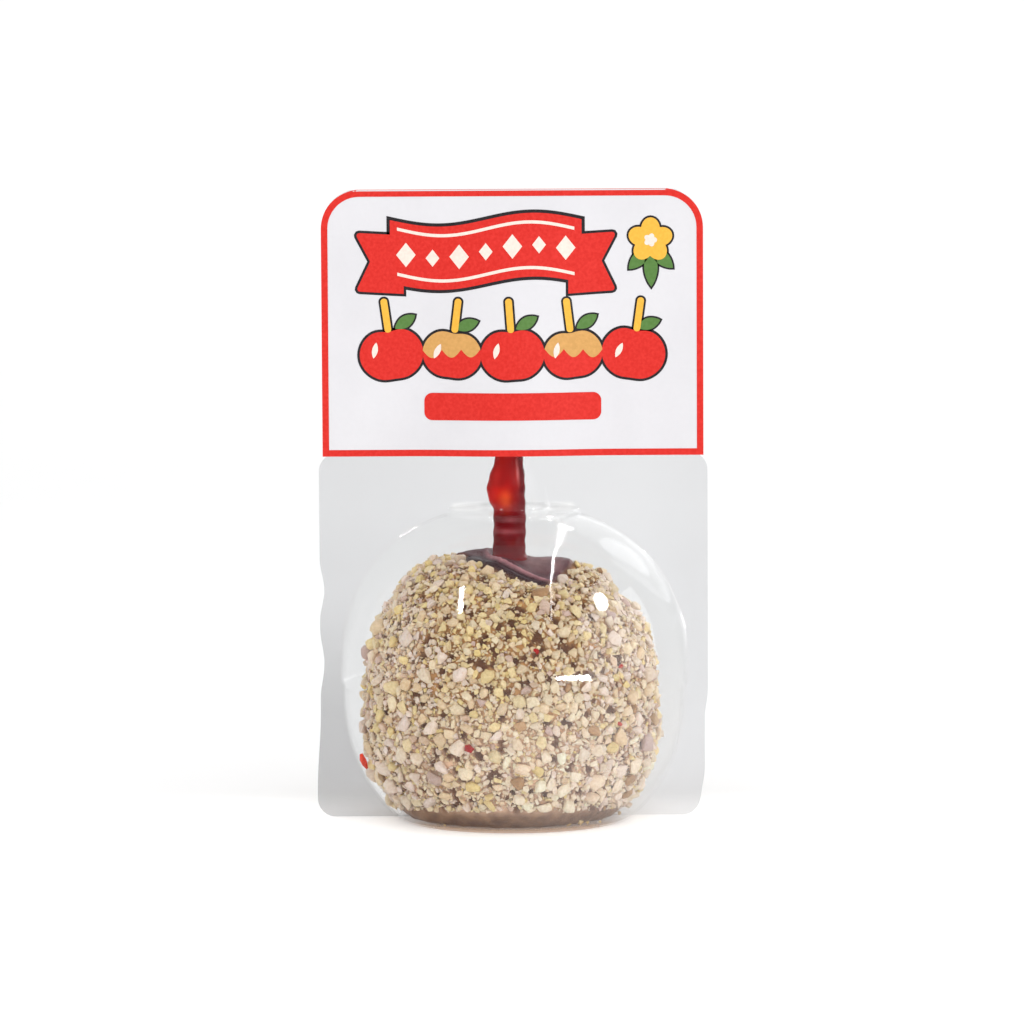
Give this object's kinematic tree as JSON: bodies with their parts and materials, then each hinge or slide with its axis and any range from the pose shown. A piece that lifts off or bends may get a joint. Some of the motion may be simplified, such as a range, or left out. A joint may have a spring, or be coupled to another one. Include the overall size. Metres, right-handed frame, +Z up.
{
  "type": "packaged caramel apple",
  "caption": "Nut-coated candy apple on a red candied stick, sealed upright in a clear two-part bubble pack under a folded header card.",
  "frame": {"origin": "on the floor, under the middle of the pack", "axes": "+Z up along the stick, -Y out of the front of the pack, +X to its right side as seen from the front"},
  "size_m": [0.0864, 0.0774, 0.14],
  "materials": {
    "clear_plastic": "thin, clear, glossy thermoformed sheet",
    "printed_card": "smooth, slightly glossy white board with red, black, green and yellow print",
    "nut_coating": "rough layer of chopped nuts, cream to tan",
    "caramel": "dark, glossy set caramel and candy between the nuts",
    "red_candy": "glossy, partly clear hard candy"
  },
  "bodies": {
    "root": {"front_blister": "clear_plastic", "back_blister": "clear_plastic", "header_card": "printed_card", "coated_apple": "nut_coating", "stick": "red_candy"}
  },
  "joints": []
}
